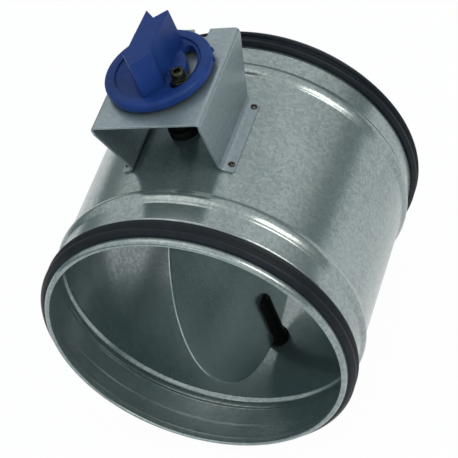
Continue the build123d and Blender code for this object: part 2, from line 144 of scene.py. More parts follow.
def pick_edges(test):
    """Select just the edges whose two end points pass the test."""
    bpy.ops.mesh.select_mode(type="EDGE")
    bpy.ops.mesh.select_all(action="DESELECT")
    mesh = bmesh.from_edit_mesh(bpy.context.object.data)
    for edge in mesh.edges:
        edge.select = test(edge.verts[0].co, edge.verts[1].co)
    mesh.select_flush_mode()
    bmesh.update_edit_mesh(bpy.context.object.data)


def draw_outline(name, corners):
    """Draw a closed outline through corners given as (place, rounding), and round each corner."""
    places = [Vector(place) for place, rounding in corners]
    piece = start_point(name, places[0])
    route = places + places[:1]
    for here, there in zip(route, route[1:]):
        bpy.ops.mesh.extrude_vertices_move(TRANSFORM_OT_translate={"value": there - here})
    bpy.ops.mesh.select_all(action="SELECT")
    bpy.ops.mesh.remove_doubles(threshold=double_reach / 2)
    for place, rounding in corners:
        if rounding:
            corner = Vector(place)
            pick_vertices(lambda spot, corner=corner: (spot - corner).length < same_spot)
            bpy.ops.mesh.bevel(
                offset_type="OFFSET", offset=rounding, segments=5, affect="VERTICES", clamp_overlap=True)
    bpy.ops.mesh.select_all(action="SELECT")
    return piece


def close_shape(smooth_degrees=35):
    """Merge doubles, turn the faces outwards, leave edit mode and smooth the shallow edges."""
    bpy.ops.mesh.select_all(action="SELECT")
    bpy.ops.mesh.remove_doubles(threshold=double_reach)
    bpy.ops.mesh.normals_make_consistent(inside=False)
    leave_edit()
    bpy.ops.object.shade_smooth_by_angle(angle=math.radians(smooth_degrees))


def turned(name, profile, steps, about=(0, 0, 0), axis="Z"):
    """A turned piece: an outline of (radius, along, rounding) spun once round the axis."""
    about = Vector(about)
    if axis == "Y":
        corners = [((about.x + radius, along, about.z), rounding) for radius, along, rounding in profile]
        direction = (0, 1, 0)
    else:
        corners = [((about.x + radius, about.y, along), rounding) for radius, along, rounding in profile]
        direction = (0, 0, 1)
    piece = draw_outline(name, corners)
    bpy.ops.mesh.spin(steps=steps, angle=math.tau, center=about, axis=direction)
    close_shape()
    return piece


def apply_modifiers(piece):
    """Apply every modifier of a piece, first to last."""
    bpy.context.view_layer.objects.active = piece
    for modifier in list(piece.modifiers):
        bpy.ops.object.modifier_apply(modifier=modifier.name)


def reopen_and_close(piece, smooth_degrees):
    """Clean a piece again after its modifiers."""
    bpy.context.view_layer.objects.active = piece
    bpy.ops.object.mode_set(mode="EDIT")
    close_shape(smooth_degrees)


def soften(piece, width, segments=2, angle=35, finish_slot=0):
    """Break the sharp edges of a piece with a narrow rounded bevel, in the finish of a given slot."""
    bevel = piece.modifiers.new("edge_break", "BEVEL")
    bevel.material = finish_slot
    bevel.width = width
    bevel.segments = segments
    bevel.limit_method = "ANGLE"
    bevel.angle_limit = math.radians(angle)
    apply_modifiers(piece)


def cut(piece, cutter):
    """Cut one shape out of a piece and clear the cutter away."""
    boolean = piece.modifiers.new("cut", "BOOLEAN")
    boolean.operation = "DIFFERENCE"
    boolean.solver = "EXACT"
    boolean.object = cutter
    apply_modifiers(piece)
    bpy.data.objects.remove(cutter)


def round_cutter(place, radius, low, high):
    """An upright cylinder used to cut a hole."""
    bpy.ops.object.select_all(action="DESELECT")
    bpy.ops.mesh.primitive_cylinder_add(
        vertices=48, radius=radius, depth=high - low, location=(place[0], place[1], (low + high) / 2))
    bpy.ops.object.transform_apply(location=True, rotation=True, scale=True)
    return bpy.context.object


def place_mesh(piece, matrix):
    """Move or turn a piece in its mesh, so that its object stays at the origin."""
    piece.data.transform(matrix)
    piece.data.update()


def copy_piece(piece, name, matrix):
    """A copy with its own mesh, moved by a matrix."""
    twin = piece.copy()
    twin.data = piece.data.copy()
    twin.name = name
    bpy.context.collection.objects.link(twin)
    place_mesh(twin, matrix)
    return twin


# ---------------------------------------------------------------- finishes


def new_material(name):
    """An empty node material and its shader."""
    material = bpy.data.materials.new(name)
    material.use_nodes = True
    return material, material.node_tree.nodes["Principled BSDF"]


def add_node(material, kind, **settings):
    """One node with its settings; keys that are input names set that input."""
    node = material.node_tree.nodes.new(kind)
    for key, value in settings.items():
        if key in node.inputs:
            node.inputs[key].default_value = value
        else:
            setattr(node, key, value)
    return node


def link(material, source, target):
    """Join an output socket to an input socket."""
    material.node_tree.links.new(source, target)


def place_noise(material, scale, detail=3.0, stretch=(1, 1, 1), roughness=0.5):
    """Noise that sits on the piece in its own coordinates; scale counts features per metre."""
    coords = add_node(material, "ShaderNodeTexCoord")
    mapping = add_node(material, "ShaderNodeMapping")
    mapping.inputs["Scale"].default_value = stretch
    noise = add_node(material, "ShaderNodeTexNoise", Scale=scale, Detail=detail, Roughness=roughness)
    link(material, coords.outputs["Object"], mapping.inputs["Vector"])
    link(material, mapping.outputs["Vector"], noise.inputs["Vector"])
    return noise.outputs["Fac"]


def place_cells(material, scale):
    """Random grey value of each crystal of a zinc coat."""
    coords = add_node(material, "ShaderNodeTexCoord")
    cells = add_node(material, "ShaderNodeTexVoronoi", Scale=scale)
    split = add_node(material, "ShaderNodeSeparateColor")
    link(material, coords.outputs["Object"], cells.inputs["Vector"])
    link(material, cells.outputs["Color"], split.inputs["Color"])
    return split.outputs["Red"]


def weigh(material, first, second, share):
    """Mix two grey values by a fixed share of the second."""
    mix = add_node(material, "ShaderNodeMix", data_type="FLOAT")
    mix.inputs[0].default_value = share
    link(material, first, mix.inputs[2])
    link(material, second, mix.inputs[3])
    return mix.outputs[0]


def spread(material, value, low, high, from_low=0.3, from_high=0.7):
    """Map a grey value onto a range."""
    ranger = add_node(material, "ShaderNodeMapRange")
    ranger.inputs["From Min"].default_value = from_low
    ranger.inputs["From Max"].default_value = from_high
    ranger.inputs["To Min"].default_value = low
    ranger.inputs["To Max"].default_value = high
    link(material, value, ranger.inputs["Value"])
    return ranger.outputs["Result"]


def tint(material, value, dark, light, from_low=0.3, from_high=0.7):
    """Colour between two tones, driven by a grey value."""
    mix = add_node(material, "ShaderNodeMix", data_type="RGBA")
    mix.inputs[6].default_value = (*dark, 1)
    mix.inputs[7].default_value = (*light, 1)
    link(material, spread(material, value, 0, 1, from_low, from_high), mix.inputs[0])
    return mix.outputs[2]


def bump(material, shader, height, strength, distance):
    """Small relief on the surface."""
    relief = add_node(material, "ShaderNodeBump", Strength=strength, Distance=distance)
    link(material, height, relief.inputs["Height"])
    link(material, relief.outputs["Normal"], shader.inputs["Normal"])


def zinc_sheet(name, dark, light, grain_along=(1, 1, 1), rough=(0.17, 0.27)):
    """Zinc-coated sheet: pale grey with small crystals, fine grain and faint handling marks."""
    material, shader = new_material(name)
    shader.inputs["Metallic"].default_value = 0.74
    shader.inputs["Specular IOR Level"].default_value = 0.3
    grain = place_noise(material, 900, 2.0, grain_along, 0.65)
    smudge = place_noise(material, 34, 4.0, (1, 0.35, 1))
    crystals = place_cells(material, 520)
    tone = weigh(material, weigh(material, grain, crystals, 0.30), smudge, 0.38)
    link(material, tint(material, tone, dark, light, 0.36, 0.62), shader.inputs["Base Color"])
    link(material, spread(material, tone, rough[1], rough[0]), shader.inputs["Roughness"])
    bump(material, shader, grain, 0.05, 0.03 * mm)
    return material


def lip_rubber():
    """Black lip rubber with a dull bloom and a little sheen."""
    material, shader = new_material("lip_rubber")
    bloom = place_noise(material, 160, 4.0)
    fine = place_noise(material, 1800, 2.0)
    tone = tint(material, bloom, (0.0010, 0.0030, 0.0060), (0.0030, 0.0070, 0.0120))
    link(material, tone, shader.inputs["Base Color"])
    link(material, spread(material, fine, 0.40, 0.54), shader.inputs["Roughness"])
    shader.inputs["Specular IOR Level"].default_value = 0.22
    bump(material, shader, fine, 0.10, 0.03 * mm)
    return material


def black_moulding():
    """Black moulded plastic with a fine spark texture."""
    material, shader = new_material("black_moulding")
    fine = place_noise(material, 2200, 3.0)
    cloud = place_noise(material, 120, 2.0)
    tone = tint(material, cloud, (0.0012, 0.0014, 0.0016), (0.0030, 0.0034, 0.0036))
    link(material, tone, shader.inputs["Base Color"])
    link(material, spread(material, fine, 0.50, 0.64), shader.inputs["Roughness"])
    shader.inputs["Specular IOR Level"].default_value = 0.12
    bump(material, shader, fine, 0.10, 0.03 * mm)
    return material


def blue_moulding(name, dark, light):
    """Saturated blue moulded plastic, satin, a little paler where it flowed."""
    material, shader = new_material(name)
    flow = place_noise(material, 70, 3.0, (1, 1, 0.4))
    fine = place_noise(material, 1500, 3.0)
    link(material, tint(material, flow, dark, light), shader.inputs["Base Color"])
    link(material, spread(material, fine, 0.36, 0.46), shader.inputs["Roughness"])
    shader.inputs["Specular IOR Level"].default_value = 0.14
    bump(material, shader, fine, 0.06, 0.03 * mm)
    return material


def nylon():
    """Natural nylon, off-white and waxy."""
    material, shader = new_material("natural_nylon")
    cloud = place_noise(material, 200, 3.0)
    link(material, tint(material, cloud, (0.62, 0.60, 0.54), (0.74, 0.72, 0.66)), shader.inputs["Base Color"])
    link(material, spread(material, cloud, 0.38, 0.5), shader.inputs["Roughness"])
    return material


def plated_steel():
    """Zinc-plated steel of pins, clips and the drive shaft."""
    material, shader = new_material("plated_steel")
    shader.inputs["Metallic"].default_value = 1.0
    fine = place_noise(material, 1400, 3.0, (1, 1, 0.2))
    link(material, tint(material, fine, (0.36, 0.36, 0.34), (0.50, 0.50, 0.47)), shader.inputs["Base Color"])
    link(material, spread(material, fine, 0.28, 0.42), shader.inputs["Roughness"])
    return material


def dark_rivet_steel():
    """Rivet heads with a brown heat tint and darker blots spread at random."""
    material, shader = new_material("dark_rivet_steel")
    shader.inputs["Metallic"].default_value = 1.0
    blot = place_noise(material, 700, 4.0, (1, 1, 1), 0.7)
    link(material, tint(material, blot, (0.022, 0.019, 0.014), (0.17, 0.16, 0.13), 0.45, 0.70),
         shader.inputs["Base Color"])
    link(material, spread(material, blot, 0.35, 0.55), shader.inputs["Roughness"])
    return material


def black_oxide():
    """Black-oxide screw steel, blotched towards a dull olive."""
    material, shader = new_material("black_oxide")
    shader.inputs["Metallic"].default_value = 1.0
    blot = place_noise(material, 500, 3.0)
    tone = tint(material, blot, (0.020, 0.022, 0.018), (0.075, 0.080, 0.052))
    link(material, tone, shader.inputs["Base Color"])
    link(material, spread(material, blot, 0.34, 0.5), shader.inputs["Roughness"])
    return material


rolled_upright = (1, 1, 0.06)              # stretches the grain along the spindles
finishes = {
    "galvanised_sheet": zinc_sheet("duct_zinc", (0.200, 0.236, 0.238), (0.312, 0.350, 0.348)),
    "shelf_sheet": zinc_sheet("shelf_zinc", (0.215, 0.255, 0.272), (0.275, 0.318, 0.338), rough=(0.32, 0.42)),
    "blade_sheet": zinc_sheet(
        "blade_zinc", (0.265, 0.325, 0.325), (0.375, 0.435, 0.435), rolled_upright, (0.19, 0.24)),
    "seal_rubber": lip_rubber(),
    "black_plastic": black_moulding(),
    "blue_plastic": blue_moulding("blue_moulding", (0.0070, 0.0240, 0.115), (0.0110, 0.0340, 0.155)),
    "nylon_white": nylon(),
    "steel_small": plated_steel(),
    "black_steel": black_oxide(),
}
rivet_finish = dark_rivet_steel()
dark_pins = finishes["black_steel"]
painted_highlight_slot = 1                              # place of the paler blue, a painted highlight on the knob's bevelled edges, among a knob piece's finishes
# paler blue for the knob's bevel faces: a painted highlight along its edges
painted_highlight_blue = blue_moulding("painted_highlight_blue_edge", (0.090, 0.250, 0.64), (0.190, 0.410, 0.85))


def dress(piece, slot, body, replaced=(), finish=None, edge_finish=None):
    """Give a new piece its finish, its body and the frame pieces that it stands for."""
    piece.data.materials.append(finish or finishes[slot])
    if edge_finish:
        piece.data.materials.append(edge_finish)
    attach(piece, body)
    if replaced:
        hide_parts(*replaced)


def dress_frame_nodes():
    """Give every frame node the finish of its slot, and the blade's pins a dark one."""
    for subpart in frame["record"]["subparts"]:
        node = frame["nodes"][subpart["node"]]
        for socket in node.material_slots:
            finish = finishes[subpart["material_slot"]]
            socket.material = dark_pins if subpart["node"] == "blade_pins" else finish


# ---------------------------------------------------------------- duct tube


def both_ends(front):
    """Corners of (radius, along, rounding), continued as a mirror image to the far end."""
    return front + [(radius, tube_length - along, rounding) for radius, along, rounding in reversed(front)]


def tube_profile(swell=0.0):
    """Closed outline of the tube's wall with its hems, steps and beads; swell thickens it, not lengthens."""
    step_round, bead_foot_round, bead_round = 0.5 * mm, 0.9 * mm, 2.5 * mm
    outside = both_ends([
        (hem_radius - swell, hem_depth + swell, 1.2 * mm),
        (hem_radius - swell, swell, 1.0 * mm),
        (spigot_radius + swell, swell, 3.2 * mm),
        (spigot_radius + swell, spigot_end, step_round),
        (body_radius + swell, step_end, step_round),
        (body_radius + swell, bead_start, bead_foot_round),
        (bead_radius + swell, bead_start + bead_flank, bead_round),
        (bead_radius + swell, bead_end - bead_flank, bead_round),
        (body_radius + swell, bead_end, bead_foot_round),
    ])
    thick = wall + swell
    step_round, bead_foot_round, bead_round = 0.4 * mm, 0.7 * mm, 1.3 * mm
    inside = both_ends([
        (spigot_radius - thick, hem_depth + swell, 0),
        (spigot_radius - thick, spigot_end + wall / 2, step_round),
        (body_radius - thick, step_end + wall / 2, step_round),
        (body_radius - thick, bead_start + wall / 2, bead_foot_round),
        (bead_radius - thick, bead_start + bead_flank + wall / 2, bead_round),
        (bead_radius - thick, bead_end - bead_flank - wall / 2, bead_round),
        (body_radius - thick, bead_end - wall / 2, bead_foot_round),
    ])
    return outside + list(reversed(inside))


def make_tube():
    """The galvanised tube, spun in one piece, with its two bearing holes cut."""
    tube = turned("duct_tube", tube_profile(), tube_steps, axis="Y")
    near, far = body_radius - 10 * mm, body_radius + 4 * mm
    for low, high in ((near, far), (-far, -near)):
        cut(tube, round_cutter((0, shaft_y), bearing_hole_radius, low, high))
    dress(tube, "galvanised_sheet", "casing", ["casing_tube"])


def make_weld_seam():
    """The tube's lengthways weld: the same outline a hair thicker, spun through a narrow arc."""
    seam_angle = math.radians(270)
    seam_arc = math.radians(1.0)
    seam_swell = 0.12 * mm
    corners = [((radius, along, 0), rounding) for radius, along, rounding in tube_profile(seam_swell)]
    weld = draw_outline("duct_weld_seam", corners)
    bpy.ops.mesh.edge_face_add()
    bpy.ops.mesh.extrude_region()
    bpy.ops.transform.rotate(value=seam_arc, orient_axis="Y", center_override=(0, 0, 0))
    close_shape()
    place_mesh(weld, Matrix.Rotation(seam_angle - math.pi / 2, 4, "Y"))
    dress(weld, "galvanised_sheet", "casing")


# ---------------------------------------------------------------- seals


def make_seals():
    """Two double-lip seal rings; each lip has a long front flank and a steep back."""
    foot = spigot_radius + 1.9 * mm
    groove = spigot_radius + 2.0 * mm
    front_round, back_round, groove_round = 0.8 * mm, 0.7 * mm, 0.3 * mm
    profile = [
        (spigot_radius, seal_start, 0),
        (foot, seal_start, 0.5 * mm),
        (lip_radius, seal_start + 2.6 * mm, front_round),
        (lip_radius, seal_start + 4.0 * mm, back_round),
        (groove, seal_start + 5.2 * mm, groove_round),
        (groove, seal_start + 6.6 * mm, groove_round),
        (lip_radius, seal_start + 9.2 * mm, front_round),
        (lip_radius, seal_start + 10.6 * mm, back_round),
        (foot, seal_end, 0.4 * mm),
        (spigot_radius, seal_end, 0),
    ]
    front = turned("front_lip_seal", profile, tube_steps, axis="Y")
    dress(front, "seal_rubber", "casing", ["front_seal_ring"])
    rear_profile = [(radius, tube_length - along, rounding) for radius, along, rounding in profile]
    rear = turned("rear_lip_seal", rear_profile, tube_steps, axis="Y")
    dress(rear, "seal_rubber", "casing", ["rear_seal_ring"])


# ---------------------------------------------------------------- blade


def make_blade():
    """The round blade: a thin disc standing on edge, its rim broken to a bright line."""
    edge_break, rim_width = 0.2 * mm, 3 * mm
    bpy.ops.object.select_all(action="DESELECT")
    bpy.ops.mesh.primitive_cylinder_add(vertices=192, radius=blade_radius, depth=blade_thickness)
    blade = bpy.context.object
    blade.name = "blade_plate"
    bpy.ops.object.mode_set(mode="EDIT")
    bpy.ops.mesh.select_all(action="SELECT")
    pick_edges(lambda a, b: abs(a.z - b.z) < same_spot)
    bpy.ops.mesh.bevel(offset=edge_break, segments=2, affect="EDGES")
    pick_faces(lambda middle, normal: abs(normal.z) > 0.99 and middle.length < 10 * mm)
    bpy.ops.mesh.inset(thickness=rim_width)
    close_shape(30)
    upright = Matrix.Rotation(math.pi / 2, 4, "Y")
    place_mesh(blade, set_turn @ Matrix.Translation(shaft_place) @ upright)
    dress(blade, "blade_sheet", "rotor", ["blade_disc"])


# ---------------------------------------------------------------- spindles and bushes
sides = {"upper": 1, "lower": -1}
grip_radius = 6.0 * mm                     # where a spindle holds the blade
collar_radius, collar_height = 6.9 * mm, 2.2 * mm
journal_radius = 5.0 * mm                  # where a spindle turns in its bush
running_gap = 0.06 * mm


def blade_slot_cutter(side, inner_end):
    """A thin block where the blade sits in its spindle."""
    low, high = inner_end - mm, blade_radius + 0.3 * mm
    bpy.ops.object.select_all(action="DESELECT")
    bpy.ops.mesh.primitive_cube_add(size=1, location=(0, shaft_y, side * (low + high) / 2))
    block = bpy.context.object
    block.scale = (blade_thickness + 0.1 * mm, 4 * grip_radius, high - low)
    bpy.ops.object.transform_apply(location=True, rotation=True, scale=True)
    place_mesh(block, set_turn)
    return block


def make_spindles():
    """The two moulded spindles: round-nosed, slotted for the blade, with a collar and a journal."""
    for place, side in sides.items():
        inner_end, outer_end = sorted(abs(corner.z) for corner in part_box(f"{place}_spindle"))
        collar_top = min(abs(corner.z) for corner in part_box(f"{place}_thrust_washer")) - 0.05 * mm
        collar_bottom = collar_top - collar_height
        spindle = turned(f"{place}_blade_spindle", [
            (0, side * inner_end, 0), (grip_radius, side * inner_end, 2.4 * mm),
            (grip_radius, side * collar_bottom, 0), (collar_radius, side * collar_bottom, 0.4 * mm),
            (collar_radius, side * collar_top, 0.3 * mm), (journal_radius, side * collar_top, 0),
            (journal_radius, side * outer_end, 0.4 * mm), (0, side * outer_end, 0),
        ], 64, shaft_place)
        cut(spindle, blade_slot_cutter(side, inner_end))
        dress(spindle, "black_plastic", "rotor", [f"{place}_spindle"])


def make_bushes():
    """The two flanged bushes in the tube's wall, with a rounded flange."""
    bore, stem = journal_radius + running_gap, 6.6 * mm
    seat = body_radius + 0.05 * mm
    for place, side in sides.items():
        inside, outside = sorted(abs(corner.z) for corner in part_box(f"{place}_bush"))
        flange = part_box(f"{place}_bush")[1].x
        bush = turned(f"{place}_spindle_bush", [
            (bore, side * inside, 0.2 * mm), (stem, side * inside, 0.3 * mm), (stem, side * seat, 0),
            (flange, side * seat, 0.4 * mm), (flange, side * outside, 1.4 * mm),
            (bore, side * outside, 0.3 * mm),
        ], 96, shaft_place)
        dress(bush, "black_plastic", "casing", [f"{place}_bush"])


# ---------------------------------------------------------------- shelf bracket
sheet = 1.5 * mm
fold_radius = 3.0 * mm
foot_fold_radius = 5.0 * mm
fold_reach = 0.75                          # a fold starts this share of its radius from the corner
shelf_left, shelf_right = -34.0 * mm, 39.0 * mm
shelf_front, shelf_back = 50.4 * mm, 136.4 * mm
shoulder = 5.0 * mm
foot_front, foot_back = 62.8 * mm, 125.0 * mm
foot_corner = 2.4 * mm
shaft_hole_radius, screw_hole_radius = 6.1 * mm, 4.0 * mm
notch_middle, notch_width, notch_depth, notch_round = 14.25 * mm, 10.5 * mm, 7.6 * mm, 1.5 * mm


def foot_line(side):
    """Fold, line of rivets and free edge of a foot flange, as (x, z) on the sheet's middle line."""
    offset, spread_half, run, lip = 2.5 * mm, 28.5 * mm, 6.2 * mm, 3.0 * mm
    flange_radius = body_radius + sheet / 2
    lean = math.asin((offset + side * (spread_half + run)) / flange_radius)
    touch = Vector((flange_radius * math.sin(lean), flange_radius * math.cos(lean)))
    along = Vector((side * math.cos(lean), -side * math.sin(lean)))
    return touch - along * run, touch, touch + along * lip


def make_shelf():
    """The folded shelf: top, tapering legs and foot flanges drawn out of one plane, then thickened."""
    middle_height = shelf_top - sheet / 2
    left, right = shelf_left + sheet / 2, shelf_right - sheet / 2
    bpy.ops.object.select_all(action="DESELECT")
    bpy.ops.mesh.primitive_plane_add(
        size=1, location=((left + right) / 2, (shelf_front + shelf_back) / 2, middle_height))
    shelf = bpy.context.object
    shelf.name = "shelf_plate"
    shelf.scale = (right - left, shelf_back - shelf_front, 1)
    bpy.ops.object.transform_apply(location=True, rotation=True, scale=True)
    bpy.ops.object.mode_set(mode="EDIT")
    for side, edge_x in ((-1, left), (1, right)):
        fold, touch, free = foot_line(side)
        lean = (fold.x - edge_x) / (middle_height - fold.y)
        pick_edges(lambda a, b: abs(a.x - edge_x) + abs(b.x - edge_x) < 2 * same_spot)
        for x, z, front, back in (
            (edge_x + lean * shoulder, middle_height - shoulder, shelf_front, shelf_back),
            (fold.x, fold.y, foot_front, foot_back),
            (free.x, free.y, foot_front, foot_back),
        ):
            picked = [v.co.copy() for v in bmesh.from_edit_mesh(shelf.data).verts if v.select]
            now_front = min(spot.y for spot in picked)
            now_back = max(spot.y for spot in picked)
            step = (x - picked[0].x, (front + back - now_front - now_back) / 2, z - picked[0].z)
            bpy.ops.mesh.extrude_region_move(TRANSFORM_OT_translate={"value": step})
            bpy.ops.transform.resize(
                value=(1, (back - front) / (now_back - now_front), 1),
                center_override=(x, (front + back) / 2, z))
        pick_vertices(lambda spot: abs(spot.x - free.x) < same_spot and abs(spot.z - free.y) < same_spot)
        bpy.ops.mesh.bevel(offset=foot_corner, segments=5, affect="VERTICES")
        for fold_x, fold_z, radius in (
            (edge_x, middle_height, fold_radius),
            (fold.x, fold.y, foot_fold_radius),
        ):
            pick_edges(lambda a, b: all(
                abs(spot.x - fold_x) < same_spot and abs(spot.z - fold_z) < same_spot for spot in (a, b)))
            bpy.ops.mesh.bevel(offset=radius * fold_reach, segments=8, affect="EDGES")
    bpy.ops.mesh.select_all(action="SELECT")
    bpy.ops.mesh.normals_make_consistent(inside=False)
    leave_edit()
    solid = shelf.modifiers.new("sheet", "SOLIDIFY")
    solid.thickness = sheet
    solid.offset = 0
    solid.use_even_offset = True
    apply_modifiers(shelf)
    for place, radius in (((0, shaft_y), shaft_hole_radius), (lock_place, screw_hole_radius)):
        cut(shelf, round_cutter(place, radius, shelf_top - 4 * mm, shelf_top + 2 * mm))
    cut(shelf, notch_cutter())
    soften(shelf, 0.28 * mm, 2, 40)
    reopen_and_close(shelf, 30)
    dress(shelf, "shelf_sheet", "casing", ["shelf_bracket"])


def notch_cutter():
    """A block with rounded upright edges, for the notch in the shelf's back edge."""
    bpy.ops.object.select_all(action="DESELECT")
    bpy.ops.mesh.primitive_cube_add(size=1, location=(notch_middle, shelf_back, shelf_top))
    block = bpy.context.object
    block.scale = (notch_width, 2 * notch_depth, 8 * mm)
    bpy.ops.object.transform_apply(location=True, rotation=True, scale=True)
    bpy.ops.object.mode_set(mode="EDIT")
    pick_edges(lambda a, b: abs(a.z - b.z) > mm)
    bpy.ops.mesh.bevel(offset=notch_round, segments=5, affect="EDGES")
    leave_edit()
    return block


def make_rivets():
    """Four rivets with low domed heads and a sunk middle, one in each corner of the feet."""
    core, shank, tail, head, dome = 0.75 * mm, 1.6 * mm, 2.1 * mm, 2.2 * mm, 0.9 * mm
    tail_top = body_radius - wall
    tail_bottom = tail_top - dome
    head_bottom = body_radius + sheet
    head_top = head_bottom + dome
    profile = [
        (core, tail_bottom, 0),
        (tail, tail_bottom, 0.3 * mm),
        (tail, tail_top, 0),
        (shank, tail_top, 0),
        (shank, head_bottom, 0),
        (head, head_bottom, 0),
        (head, head_bottom + 0.35 * mm, 0.2 * mm),
        (1.5 * mm, head_top, 0.5 * mm),
        (0.9 * mm, head_top, 0.15 * mm),
        (core, head_bottom + dome / 2, 0),
    ]
    rivet = turned("rivet_model", profile, 32)
    inset = 5.8 * mm
    count = 0
    for side in (-1, 1):
        fold, touch, free = foot_line(side)
        lean = math.atan2(touch.x, touch.y)
        for along in (foot_front + inset, foot_back - inset):
            count += 1
            lay = Matrix.Translation((0, along, 0)) @ Matrix.Rotation(lean, 4, "Y")
            placed = copy_piece(rivet, f"shelf_rivet_{count}", lay)
            dress(placed, "steel_small", "casing", ["bracket_rivets"], rivet_finish)
    bpy.data.objects.remove(rivet)


# ---------------------------------------------------------------- knob
dial_radius = 34.5 * mm
dial_top = dial_bottom + 5.8 * mm
rim_inner = 27.5 * mm
dial_floor = dial_top - 1.4 * mm
slot_radius = 21.8 * mm
slot_half = 3.5 * mm
slot_from, slot_to = math.radians(-43), math.radians(47)
grip_root = 0.4 * mm                       # the grip starts this deep in the dial
grip_outline = (
    (0, -26.4), (10.3, -14.4), (8.0, -11.6), (8.0, 25.0),
    (0, 17.8), (-8.0, 25.0), (-8.0, -11.6), (-10.3, -14.4),
)
grip_draft = (0.93, 0.975, 1)              # share of the outline left at the grip's top
nib_angles = (31.0, 15.5)


def slot_cutter():
    """The dial's arc slot as a solid: a block spun through the slot's angle."""
    low, high = dial_bottom - 2 * mm, dial_top + 2 * mm
    corners = [
        ((slot_radius - slot_half, 0, low), 0), ((slot_radius + slot_half, 0, low), 0),
        ((slot_radius + slot_half, 0, high), 0), ((slot_radius - slot_half, 0, high), 0),
    ]
    block = draw_outline("slot_cutter", corners)
    bpy.ops.mesh.edge_face_add()
    bpy.ops.mesh.spin(steps=36, angle=slot_to - slot_from, center=(0, 0, 0), axis=(0, 0, 1))
    close_shape()
    place_mesh(block, Matrix.Translation(shaft_place) @ Matrix.Rotation(slot_to, 4, "Z"))
    return block


def make_dial():
    """The knob's dial: a turned disc with a rounded rim, a sunk floor and the arc slot."""
    bore = 4.1 * mm
    profile = [
        (bore, dial_bottom, 0),
        (dial_radius, dial_bottom, 0.6 * mm),
        (dial_radius, dial_top, 2.2 * mm),
        (rim_inner, dial_top, 0.7 * mm),
        (rim_inner - 0.3 * mm, dial_floor, 0.4 * mm),
        (bore, dial_floor, 0),
    ]
    dial = turned("knob_dial_plate", profile, 144, shaft_place)
    cut(dial, slot_cutter())
    for angle in (slot_from, slot_to):
        spot = shaft_place + slot_radius * Vector((math.cos(angle), math.sin(angle), 0))
        cut(dial, round_cutter(spot, slot_half, dial_bottom - 2 * mm, dial_top + 2 * mm))
    # the bevel faces take the paler blue, a painted highlight on the dial's edges
    soften(dial, 0.45 * mm, 3, 45, painted_highlight_slot)
    reopen_and_close(dial, 40)
    dress(dial, "blue_plastic", "rotor", ["knob_dial"], edge_finish=painted_highlight_blue)


def make_grip():
    """The arrow grip: its outline raised from the dial's floor with a slight draft."""
    corners = [((x * mm, y * mm, dial_floor - grip_root), 0) for x, y in grip_outline]
    grip = draw_outline("knob_arrow_grip", corners)
    bpy.ops.mesh.edge_face_add()
    bpy.ops.mesh.extrude_region_move(
        TRANSFORM_OT_translate={"value": (0, 0, knob_top - dial_floor + grip_root)})
    bpy.ops.transform.resize(value=grip_draft, center_override=(0, 0, knob_top))
    close_shape(30)
    # the bevel faces take the paler blue, a painted highlight on the grip's edges
    soften(grip, 0.75 * mm, 3, 20, painted_highlight_slot)
    reopen_and_close(grip, 30)
    place_mesh(grip, set_turn @ Matrix.Translation(shaft_place))
    dress(grip, "blue_plastic", "rotor", ["knob_dial"], edge_finish=painted_highlight_blue)


def make_nibs():
    """Two small marker nibs on the dial's rim."""
    for count, angle in enumerate(nib_angles, 1):
        bpy.ops.object.select_all(action="DESELECT")
        bpy.ops.mesh.primitive_cylinder_add(vertices=3, radius=1.2 * mm, depth=3.2 * mm)
        nib = bpy.context.object
        nib.name = f"knob_rim_nib_{count}"
        soften(nib, 0.2 * mm, 2, 30)
        turn = Matrix.Rotation(math.radians(angle), 4, "Z")
        rim = Matrix.Translation((dial_radius, 0, dial_bottom + 1.7 * mm))
        place_mesh(nib, Matrix.Translation(shaft_place) @ turn @ rim)
        dress(nib, "blue_plastic", "rotor", ["knob_dial"])


# ---------------------------------------------------------------- locking screw and its washers
shank_radius = 2.5 * mm


def make_lock_washers():
    """A flat washer and a split spring washer under the screw's head."""
    bore = shank_radius + running_gap
    flat_radius, spring_radius = 5.4 * mm, 4.4 * mm
    flat = turned("lock_flat_washer", [
        (bore, lock_washer_bottom, 0.15 * mm), (flat_radius, lock_washer_bottom, 0.2 * mm),
        (flat_radius, lock_washer_top, 0.3 * mm), (bore, lock_washer_top, 0.15 * mm),
    ], 64, lock_place)
    dress(flat, "black_steel", "lock_washers", ["lock_washer"])
    split = math.radians(12)
    corners = [
        ((lock_place.x + radius, lock_place.y, height), 0.2 * mm)
        for radius, height in (
            (bore, lock_washer_top), (spring_radius, lock_washer_top),
            (spring_radius, spring_washer_top), (bore, spring_washer_top))
    ]
    spring = draw_outline("lock_split_washer", corners)
    bpy.ops.mesh.edge_face_add()
    bpy.ops.mesh.spin(steps=60, angle=math.tau - split, center=lock_place, axis=(0, 0, 1))
    close_shape(30)
    dress(spring, "steel_small", "lock_washers", ["lock_spring_washer"], finishes["black_steel"])


def make_lock_screw():
    """The socket-head screw: turned head and shank, with a six-sided socket cut in the head."""
    head_bottom = spring_washer_top
    head_radius, socket_radius, socket_depth = 4.25 * mm, 2.42 * mm, 2.8 * mm
    screw = turned("lock_socket_screw", [
        (0, screw_bottom, 0), (2.1 * mm, screw_bottom, 0), (shank_radius, screw_bottom + 0.6 * mm, 0),
        (shank_radius, head_bottom, 0), (head_radius, head_bottom, 0.3 * mm),
        (head_radius, screw_top, 0.7 * mm), (0, screw_top, 0),
    ], 64, lock_place)
    bpy.ops.object.select_all(action="DESELECT")
    bpy.ops.mesh.primitive_cylinder_add(
        vertices=6, radius=socket_radius, depth=2 * socket_depth,
        location=(lock_place.x, lock_place.y, screw_top))
    bpy.ops.object.transform_apply(location=True, rotation=True, scale=True)
    cut(screw, bpy.context.object)
    soften(screw, 0.12 * mm, 2, 40)
    reopen_and_close(screw, 30)
    dress(screw, "black_steel", "lock_bolt", ["lock_screw"])


